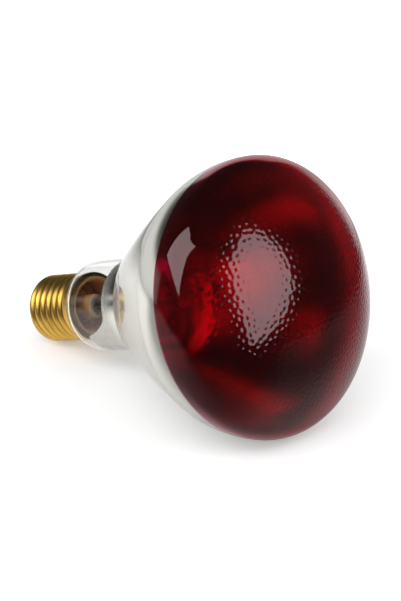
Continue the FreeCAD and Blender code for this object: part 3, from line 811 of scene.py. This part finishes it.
def coil_tree():
    """Winds a coil and bends it into half a ring in the plane of the given depth."""
    inputs = {"Depth": "Float", "Ring radius": "Float", "Coil radius": "Float", "Wire radius": "Float",
              "Turns": "Float", "Material": "Material"}
    tree, given = new_tree("Coiled filament", inputs)
    size = given.outputs
    run = times(tree, size["Ring radius"], math.pi)
    links = {"Resolution": COIL_STEPS_A_TURN, "Rotations": size["Turns"], "Height": run,
             "Start Radius": size["Coil radius"], "End Radius": size["Coil radius"]}
    spiral = node(tree, "GeometryNodeCurveSpiral", links).outputs["Curve"]
    place = node(tree, "GeometryNodeInputPosition").outputs["Position"]
    axes = node(tree, "ShaderNodeSeparateXYZ", {"Vector": place}).outputs
    turn = maths(tree, "DIVIDE", axes["Z"], size["Ring radius"])
    reach = maths(tree, "ADD", size["Ring radius"], axes["X"])
    links = {"X": times(tree, reach, maths(tree, "COSINE", turn)),
             "Y": times(tree, reach, maths(tree, "SINE", turn)),
             "Z": maths(tree, "ADD", size["Depth"], axes["Y"])}
    bent = node(tree, "ShaderNodeCombineXYZ", links).outputs["Vector"]
    ring = node(tree, "GeometryNodeSetPosition", {"Geometry": spiral, "Position": bent}).outputs["Geometry"]
    links = {"Resolution": WIRE_SIDES, "Radius": size["Wire radius"]}
    section = node(tree, "GeometryNodeCurvePrimitiveCircle", links).outputs["Curve"]
    wire = node(tree, "GeometryNodeCurveToMesh", {"Curve": ring, "Profile Curve": section, "Fill Caps": True})
    end_tree(tree, wire.outputs["Mesh"], size["Material"])
    return tree


# Pieces

def settle(piece, cad_node):
    """Places a finished piece in the frame and lets it stand for its solid."""
    piece.data.transform(lamp_place())
    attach(piece, BODY)
    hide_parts(cad_node)


def paint(cad_nodes, material):
    """Gives solids that are shown as they are their finish."""
    for name in cad_nodes:
        slots = frame["nodes"][name].data.materials
        slots.clear()
        slots.append(material)


class LAMP_OT_bulb(bpy.types.Operator):
    """Blow the bulb: stippled ruby face, silvered bowl and clear neck"""
    bl_idname = "lamp.bulb"
    bl_label = "Bulb"

    def execute(self, context):
        bulb = sizes("bulb")
        mesh = bmesh.new()
        outer_end = self.draw_outside(mesh, bulb)
        inner_end = self.draw_inside(mesh, bulb)
        join_rings(mesh, outer_end, inner_end, OUTSIDE["clear"])
        ruby = ruby_glass("ruby_glass", RUBY_ROUGH)
        frosted = ruby_glass("frosted_ruby", FROSTED_ROUGH)
        # Painted reflection of the brass cap, in brown, on the collar's inside
        painted_reflection = baked_cement("painted_brass_reflection", sizes("finish").brass_reflection)
        piece = finish_object(mesh, "bulb", (ruby, frosted, clear_glass(), mirror_coat(), painted_reflection))
        set_weight(piece, "stipple", [self.stipple(bulb, vertex.co) for vertex in piece.data.vertices])
        run_tree(piece, stipple_tree(), {
            "Pitch": bulb.dimple_pitch,
            "Radius": bulb.dimple_radius,
            "Depth": bulb.dimple_depth,
            "Seed": bulb.dimple_seed,
            "Material": ruby,
        })
        settle(piece, "glass_envelope")
        return {"FINISHED"}

    @staticmethod
    def draw_outside(mesh, bulb):
        """Fine rings on the face, coarser ones from the rim to the collar; returns the last ring."""
        sphere = face_radius(bulb)
        border = math.asin(bulb.stipple_radius / sphere)
        fine_rings = round(border * sphere / bulb.dimple_mesh)
        previous = add_ring(mesh, 0.0, -bulb.dome_height, 1)
        for index in range(1, fine_rings + 1):
            ring = add_ring(mesh, *face_point(bulb, border * index / fine_rings), APEX_SEGMENTS * index)
            join_rings(mesh, previous, ring, OUTSIDE["stained"])
            previous = ring
        points = [(finish, point) for finish, run in bulb_section(bulb, 0.0) for point in run[1:]]
        rim_start = bulb_section(bulb, 0.0)[0][1][0]
        band = (math.asin(rim_start[0] / sphere) - border) / OUTER_BAND_RINGS
        turns = [border + band * index for index in range(1, OUTER_BAND_RINGS + 1)]
        smooth = [("stained", face_point(bulb, turn)) for turn in turns]
        count = len(previous)
        for finish, (radius, depth) in smooth + points:
            count = max(count // 2, OUTER_SEGMENTS) if count > OUTER_SEGMENTS else OUTER_SEGMENTS
            ring = add_ring(mesh, radius, depth, count)
            join_rings(mesh, previous, ring, OUTSIDE[finish])
            previous = ring
        return previous

    @staticmethod
    def draw_inside(mesh, bulb):
        """Inner wall from the apex to the collar; returns the last ring."""
        sphere, inset = face_radius(bulb), bulb.glass_wall
        runs = bulb_section(bulb, inset)
        border = math.asin(runs[0][1][0][0] / (sphere - inset))
        previous = add_ring(mesh, 0.0, inset - bulb.dome_height, 1)
        centre, apex = (0.0, sphere - bulb.dome_height), -math.pi / 2
        face = arc_points(centre, sphere - inset, apex, border + apex, INNER_FACE_RINGS)
        for finish, run in (("stained", face),) + runs:
            for radius, depth in run[1:]:
                ring = add_ring(mesh, radius, depth, INNER_SEGMENTS)
                for vertex in ring:
                    vertex.co.z += coat_tongue(bulb, vertex.co)
                join_rings(mesh, previous, ring, INSIDE[finish])
                previous = ring
        return previous

    @staticmethod
    def stipple(bulb, place):
        """1 on the outside of the stippled face, dying out towards its border."""
        radius = math.hypot(place.x, place.y)
        sphere = face_radius(bulb)
        centre = sphere - bulb.dome_height
        off_sphere = abs(math.hypot(radius, place.z - centre) - sphere)
        if place.z > 0.0 or off_sphere > bulb.glass_wall / 2:
            return 0.0
        return eased((bulb.stipple_radius - radius) / bulb.stipple_fade)


class LAMP_OT_cap_shell(bpy.types.Operator):
    """Roll the brass shell of the cap with its right-hand thread"""
    bl_idname = "lamp.cap_shell"
    bl_label = "Cap shell"

    def execute(self, context):
        shell = sizes("cap")
        brass = rolled_brass()
        rim = sizes("bulb").neck_end + shell.cap_gap
        start = rim + shell.skirt_length
        end = start + shell.thread_turns * shell.thread_pitch
        outside = self.section(shell, rim, start, end, 0.0)
        inside = self.section(shell, rim, start, end, shell.sheet_metal)
        mesh = bmesh.new()
        rings = [add_ring(mesh, radius, depth, SHELL_SEGMENTS) for radius, depth in outside + inside[::-1]]
        for first, second in zip(rings, rings[1:] + rings[:1]):
            join_rings(mesh, first, second, 0)
        piece = finish_object(mesh, "cap_shell", (brass,))
        weights = [self.rolled(shell, start, end, vertex.co.z) for vertex in piece.data.vertices]
        set_weight(piece, "rolled", weights)
        run_tree(piece, thread_tree(), {
            "Start": start,
            "Pitch": shell.thread_pitch,
            "Height": shell.thread_height,
            "Material": brass,
        })
        settle(piece, "screw_shell")
        return {"FINISHED"}

    @staticmethod
    def section(shell, rim, start, end, inset):
        """Straight wall and rolled-in end, before the thread is rolled."""
        crest = shell.thread_diameter / 2
        rows = SHELL_ROWS_A_TURN * shell.thread_turns
        lip = shell.curl_diameter / 2
        turn_in = lip + shell.curl_height
        foot = end + shell.curl_height - inset
        wall = line_points((crest - inset, rim), (crest - inset, start), SKIRT_STEPS)
        wall += line_points((crest - inset, start), (crest - inset, end), rows)[1:]
        wall += line_points((crest - inset, end), (turn_in, foot), CURL_STEPS)[1:]
        wall += line_points((turn_in, foot), (lip, foot), LIP_STEPS)[1:]
        return wall

    @staticmethod
    def rolled(shell, start, end, depth):
        """Full thread between rim and end, dying out over part of a turn at both."""
        return eased(min((depth - start) / (FADE_IN_TURNS * shell.thread_pitch),
                         (end - depth) / (FADE_OUT_TURNS * shell.thread_pitch)))


class LAMP_OT_filament(bpy.types.Operator):
    """Wind the tungsten coil on its horseshoe"""
    bl_idname = "lamp.filament"
    bl_label = "Filament"

    def execute(self, context):
        filament = sizes("filament")
        piece = link_object("coil", bpy.data.meshes.new("coil"))
        run_tree(piece, coil_tree(), {
            "Depth": filament.depth,
            "Ring radius": filament.ring_diameter / 2,
            "Coil radius": (filament.coil_diameter - filament.wire_diameter) / 2,
            "Wire radius": filament.wire_diameter / 2,
            "Turns": float(filament.turns),
            "Material": drawn_wire("drawn_tungsten", sizes("finish").tungsten),
        })
        settle(piece, "filament")
        return {"FINISHED"}


class LAMP_OT_mount(bpy.types.Operator):
    """Finish the glass stem, the heat shield, the lead wires and the supports"""
    bl_idname = "lamp.mount"
    bl_label = "Glass mount"

    def execute(self, context):
        finish = sizes("finish")
        # The stem's foot carries a painted reflection of the brass cap
        paint(("glass_stem",), stem_glass())
        paint(("heat_shield",), rolled_sheet())
        paint(("centre_lead", "rim_lead"), drawn_wire("drawn_copper", finish.copper))
        supports = [name for name in frame["nodes"] if name.startswith("support_wire")]
        paint(supports, drawn_wire("drawn_molybdenum", finish.molybdenum))
        return {"FINISHED"}


class LAMP_OT_cap_fittings(bpy.types.Operator):
    """Finish the insulator, the contact, the solder and the cement of the cap"""
    bl_idname = "lamp.cap_fittings"
    bl_label = "Cap fittings"

    def execute(self, context):
        paint(("insulator",), pressed_black_glass())
        paint(("centre_contact",), drawn_wire("contact_brass", sizes("finish").brass))
        paint(("contact_solder", "rim_solder"), solder_metal())
        paint(("basing_cement",), baked_cement("baked_cement", sizes("finish").cement))
        return {"FINISHED"}


# Stage

def towards(azimuth, elevation):
    """Direction from the lamp; azimuth 0 is towards -Y and 90 degrees towards +X."""
    flat = math.cos(elevation)
    return Vector((math.sin(azimuth) * flat, -math.cos(azimuth) * flat, math.sin(elevation)))


def sees_white(tree):
    """1 for rays of the camera, also straight through glass, and 1 for those that the lamp turns away."""
    path = node(tree, "ShaderNodeLightPath").outputs
    turns = maths(tree, "ADD", path["Glossy Depth"], path["Diffuse Depth"])
    straight = times(tree, path["Is Transmission Ray"], maths(tree, "LESS_THAN", turns, STRAIGHT_ON))
    camera = maths(tree, "MAXIMUM", path["Is Camera Ray"], straight)
    sent_on = maths(tree, "MAXIMUM", path["Is Glossy Ray"], path["Is Transmission Ray"])
    return camera, maths(tree, "SUBTRACT", sent_on, straight)


def along(tree, place, azimuth):
    """Distance of a place in the direction of the azimuth."""
    return vector_maths(tree, "DOT_PRODUCT", place, towards(azimuth, 0.0))


def between(tree, source, low, high):
    """1 between two angles, with soft borders."""
    rise = remap(tree, source, low - BORDER_SOFT, low + BORDER_SOFT, smooth=True)
    fall = remap(tree, source, high - BORDER_SOFT, high + BORDER_SOFT, 1.0, 0.0, smooth=True)
    return times(tree, rise, fall)


class LAMP_OT_stage(bpy.types.Operator):
    """Lay the white table, hang the soft panels and set the camera"""
    bl_idname = "lamp.stage"
    bl_label = "Stage"

    def execute(self, context):
        stage = sizes("stage")
        middle = lamp_place().translation
        self.lay_floor(stage)
        self.light_world(context.scene, stage)
        for name, corners in SOFT_PANELS.items():
            self.hang_panel(stage, middle, name, corners)
        self.set_camera(context.scene, stage, middle)
        context.scene.view_settings.view_transform = "Standard"
        return {"FINISHED"}

    @staticmethod
    def lay_floor(stage):
        """A white table that looks darker to metal and glass in front, to the right and far off."""
        mesh = bmesh.new()
        bmesh.ops.create_circle(mesh, cap_ends=True, segments=FLOOR_SEGMENTS, radius=stage.floor_radius)
        floor = mesh_object(mesh, "floor")
        material = bpy.data.materials.new("white_table")
        tree = empty_tree(material)
        camera, sent_on = sees_white(tree)
        place = own_place(tree)
        rightward, ahead = along(tree, place, DUSK_AZIMUTH), along(tree, place, FRONT_AZIMUTH)
        reach = vector_maths(tree, "LENGTH", place)
        edge = stage.floor_radius
        dusk = remap(tree, rightward, 0.0, stage.floor_dusk, 1.0, stage.floor_dark, smooth=True)
        front = remap(tree, ahead, stage.floor_near, stage.floor_edge, 1.0, stage.floor_front, smooth=True)
        far = remap(tree, reach, edge / 2, edge, 1.0, stage.floor_dark, smooth=True)
        shade = blend(tree, sent_on, 1.0, times(tree, dusk, front, far))
        white = times(tree, shade, stage.floor_white)
        matt = node(tree, "ShaderNodeBsdfDiffuse", {"Color": white}).outputs["BSDF"]
        even = remap(tree, reach, stage.floor_calm, edge, stage.floor_glow, 1.0, smooth=True)
        glow = times(tree, even, shade, maths(tree, "MAXIMUM", camera, sent_on))
        shine = node(tree, "ShaderNodeEmission", {"Strength": glow}).outputs["Emission"]
        both = node(tree, "ShaderNodeAddShader", {0: matt, 1: shine}).outputs["Shader"]
        node(tree, "ShaderNodeOutputMaterial", {"Surface": both})
        floor.data.materials.append(material)

    @staticmethod
    def light_world(scene, stage):
        """White behind and beside the lamp, a dark room elsewhere and an even fill."""
        world = bpy.data.worlds.new("studio")
        scene.world = world
        tree = empty_tree(world)
        direction = node(tree, "ShaderNodeTexCoord").outputs["Generated"]
        axes = node(tree, "ShaderNodeSeparateXYZ", {"Vector": direction}).outputs
        turn = maths(tree, "ARCTAN2", axes["X"], times(tree, axes["Y"], -1.0))
        height = maths(tree, "ARCSINE", axes["Z"])
        screen = times(tree, between(tree, turn, *SCREEN_SIDES), between(tree, height, -math.pi, SCREEN_TOP))
        wall = times(tree, between(tree, turn, *WALL_SIDES), between(tree, height, -math.pi, WALL_TOP))
        white = maths(tree, "MAXIMUM", screen, wall)
        room = remap(tree, white, 0.0, 1.0, stage.room, stage.sweep)
        camera, sent_on = sees_white(tree)
        seen = blend(tree, camera, blend(tree, sent_on, stage.fill, room), 1.0)
        links = {"Color": opaque(WHITE), "Strength": seen}
        background = node(tree, "ShaderNodeBackground", links).outputs["Background"]
        node(tree, "ShaderNodeOutputWorld", {"Surface": background})

    @staticmethod
    def hang_panel(stage, middle, name, corners):
        """A soft panel that shines on the lamp and stays out of the picture."""
        mesh = bmesh.new()
        places = [middle + towards(*map(math.radians, corner)) * stage.panel_distance for corner in corners]
        mesh.faces.new([mesh.verts.new(place) for place in places])
        panel = mesh_object(mesh, name)
        material = bpy.data.materials.new(name)
        tree = empty_tree(material)
        shine = node(tree, "ShaderNodeEmission", {"Strength": stage.panel_light}).outputs["Emission"]
        node(tree, "ShaderNodeOutputMaterial", {"Surface": shine})
        panel.data.materials.append(material)
        panel.visible_camera = False

    @staticmethod
    def set_camera(scene, stage, middle):
        camera = link_object("camera", bpy.data.cameras.new("camera"))
        camera.data.lens = stage.lens
        camera.data.clip_start = CLIP_START
        turn = Euler((math.pi / 2 - stage.view_elevation, 0.0, stage.view_azimuth)).to_matrix()
        bulb_in_view = Vector((stage.view_right, stage.view_up, -stage.view_distance))
        camera.matrix_world = Matrix.LocRotScale(middle - turn @ bulb_in_view, turn, None)
        scene.camera = camera


class LAMP_PT_sidebar(bpy.types.Panel):
    """Lists the steps that dress the lamp"""
    bl_idname = "LAMP_PT_sidebar"
    bl_label = "Reflector lamp"
    bl_space_type = "VIEW_3D"
    bl_region_type = "UI"
    bl_category = "Lamp"

    def draw(self, context):
        for step in STEPS:
            self.layout.operator(step.bl_idname)


STEPS = (
    LAMP_OT_bulb,
    LAMP_OT_cap_shell,
    LAMP_OT_filament,
    LAMP_OT_mount,
    LAMP_OT_cap_fittings,
    LAMP_OT_stage,
)
GROUPS = {
    "bulb": LampBulbSizes,
    "cap": LampCapSizes,
    "filament": LampFilamentSizes,
    "finish": LampFinishes,
    "stage": LampStageSettings,
}


def register():
    for group in GROUPS.values():
        bpy.utils.register_class(group)
    for name, group in GROUPS.items():
        setattr(bpy.types.Scene, f"lamp_{name}", PointerProperty(type=group))
    for item in (*STEPS, LAMP_PT_sidebar):
        bpy.utils.register_class(item)


def unregister():
    for item in reversed((*STEPS, LAMP_PT_sidebar)):
        bpy.utils.unregister_class(item)
    for name in GROUPS:
        delattr(bpy.types.Scene, f"lamp_{name}")
    for group in reversed(GROUPS.values()):
        bpy.utils.unregister_class(group)


def main():
    register()
    bpy.ops.lamp.bulb()
    bpy.ops.lamp.cap_shell()
    bpy.ops.lamp.filament()
    bpy.ops.lamp.mount()
    bpy.ops.lamp.cap_fittings()
    bpy.ops.lamp.stage()


if __name__ == "__main__":
    main()
